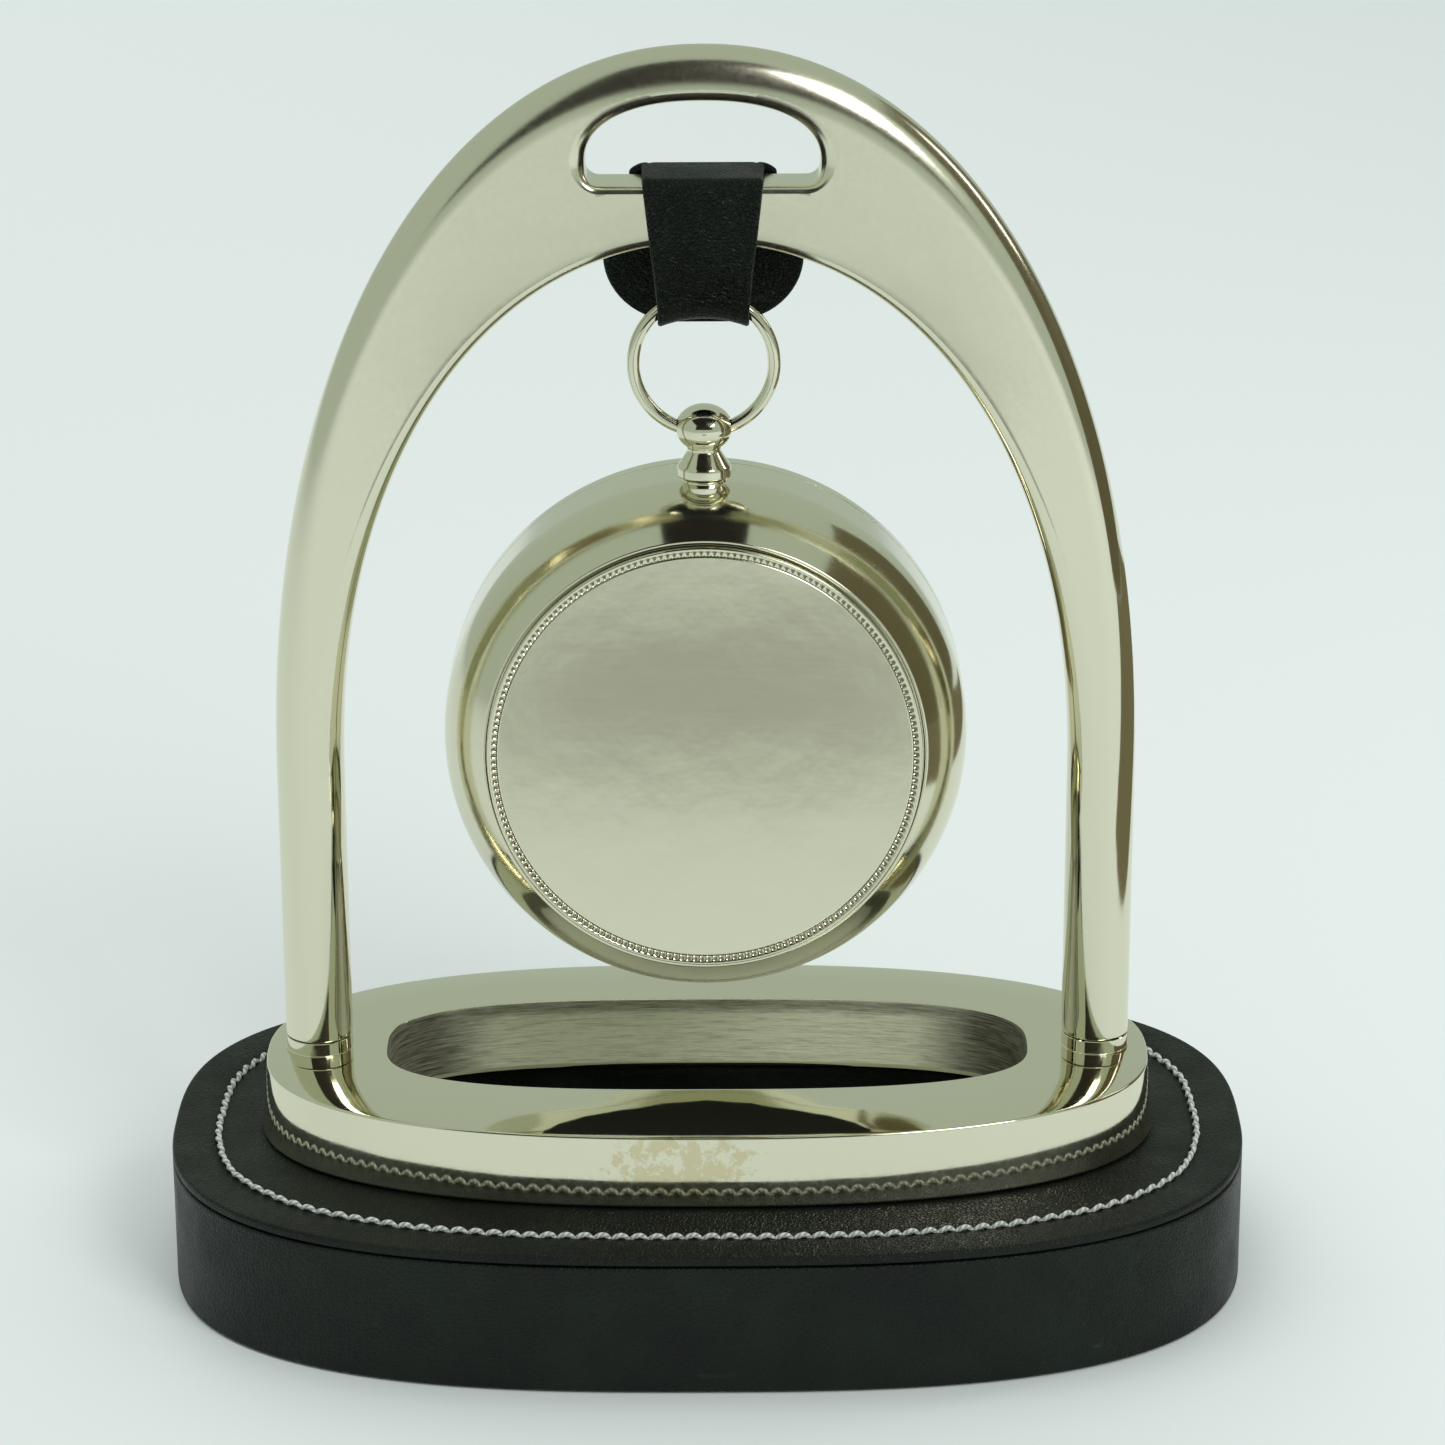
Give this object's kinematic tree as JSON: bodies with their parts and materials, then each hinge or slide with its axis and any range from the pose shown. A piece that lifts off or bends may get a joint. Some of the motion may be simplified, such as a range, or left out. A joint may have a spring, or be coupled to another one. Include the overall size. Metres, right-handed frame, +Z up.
{
  "type": "table clock",
  "caption": "Table clock: a nickel drum clock hung by a ring and a leather strap inside a stirrup, on an oval stitched leather base.",
  "frame": {"origin": "under the middle of the base, on the surface that the clock stands on", "axes": "+Z up, the dial faces -Y, +X to the right of someone who reads the dial"},
  "size_m": [0.182, 0.111, 0.2106],
  "materials": {
    "nickel": "polished nickel plate",
    "satin_nickel": "satin nickel plate",
    "leather": "fine grain, semi-matte",
    "thread": "waxed thread",
    "wood": "bare",
    "felt": "felt",
    "steel": "plain",
    "brass": "plain",
    "copper": "enamelled copper winding",
    "case_plastic": "moulded",
    "dial_white": "matt enamel",
    "hand_black": "gloss enamel",
    "glass": "clear"
  },
  "bodies": {
    "stand": {"base_block": "wood", "base_pad": "felt", "base_side_leather": "leather", "base_top_leather": "leather", "base_stitching": "thread", "leg_screw_left": "steel", "leg_screw_right": "steel", "screw_washer_left": "steel", "screw_washer_right": "steel", "stirrup_tread": "nickel", "stirrup_arch": "nickel"},
    "strap": {"hanger_strap": "leather", "strap_stud": "nickel", "strap_stud_socket": "nickel"},
    "ring": {"hanging_ring": "nickel"},
    "clock": {"pendant": "nickel", "pendant_collar": "nickel", "pendant_nut": "steel", "drum_shell": "nickel", "front_bezel": "nickel", "lens": "glass", "dial_ring": "satin_nickel", "dial": "dial_white", "bush_nut": "brass", "movement_case": "case_plastic", "movement_back": "case_plastic", "stator": "steel", "coil": "copper", "circuit_board": "case_plastic", "battery": "brass", "battery_contact_left": "steel", "battery_contact_right": "steel"},
    "cover": {"back_cover": "satin_nickel"},
    "seconds": {"second_hand": "steel", "second_arbor": "brass"},
    "minutes": {"minute_hand": "hand_black", "minute_tube": "brass", "hand_nut": "brass"},
    "hours": {"hour_hand": "hand_black", "hour_tube": "brass"},
    "motion": {"motion_wheel": "brass"},
    "third": {"third_wheel": "brass"},
    "motor": {"rotor": "steel"},
    "knob": {"setting_knob": "case_plastic"}
  },
  "joints": [
    {"name": "strap_slide", "type": "slide", "parent": "stand", "child": "strap", "axis": [1, 0, 0], "range_m": [-0.004, 0.004]},
    {"name": "ring_turn", "type": "hinge", "parent": "strap", "child": "ring", "pos_m": [0, 0, 0.1581], "axis": [0, 1, 0], "range_deg": [-8, 8]},
    {"name": "clock_nod", "type": "hinge", "parent": "ring", "child": "clock", "pos_m": [0, 0, 0.14664], "axis": [1, 0, 0], "range_deg": [-20, 20]},
    {"name": "cover_pull", "type": "slide", "parent": "clock", "child": "cover", "axis": [0, 0.998, 0.0628], "range_m": [0, 0.02]},
    {"name": "second_spin", "type": "hinge", "parent": "clock", "child": "seconds", "pos_m": [0, 0.00327, 0.0947], "axis": [0, 0.998, 0.0628], "continuous": true},
    {"name": "minute_spin", "type": "hinge", "parent": "clock", "child": "minutes", "pos_m": [0, 0.00327, 0.0947], "axis": [0, 0.998, 0.0628], "continuous": true},
    {"name": "hour_spin", "type": "hinge", "parent": "clock", "child": "hours", "pos_m": [0, 0.00327, 0.0947], "axis": [0, 0.998, 0.0628], "continuous": true},
    {"name": "motion_spin", "type": "hinge", "parent": "clock", "child": "motion", "pos_m": [0.00862, 0.00295, 0.09977], "axis": [0, 0.998, 0.0628], "continuous": true},
    {"name": "third_spin", "type": "hinge", "parent": "clock", "child": "third", "pos_m": [-0.0085, 0.00313, 0.09697], "axis": [0, 0.998, 0.0628], "continuous": true},
    {"name": "motor_spin", "type": "hinge", "parent": "clock", "child": "motor", "pos_m": [0.0034, 0.0029, 0.10058], "axis": [0, 0.998, 0.0628], "continuous": true},
    {"name": "knob_spin", "type": "hinge", "parent": "clock", "child": "knob", "pos_m": [0.01079, 0.00337, 0.09313], "axis": [0, 0.998, 0.0628], "continuous": true}
  ],
  "couplings": [
    {"joint": "minute_spin", "follows": "second_spin", "ratio": 0.016667},
    {"joint": "hour_spin", "follows": "second_spin", "ratio": 0.0013889},
    {"joint": "motion_spin", "follows": "second_spin", "ratio": -0.0055556},
    {"joint": "third_spin", "follows": "second_spin", "ratio": -0.13333},
    {"joint": "motor_spin", "follows": "second_spin", "ratio": -30},
    {"joint": "knob_spin", "follows": "second_spin", "ratio": -0.032407}
  ]
}
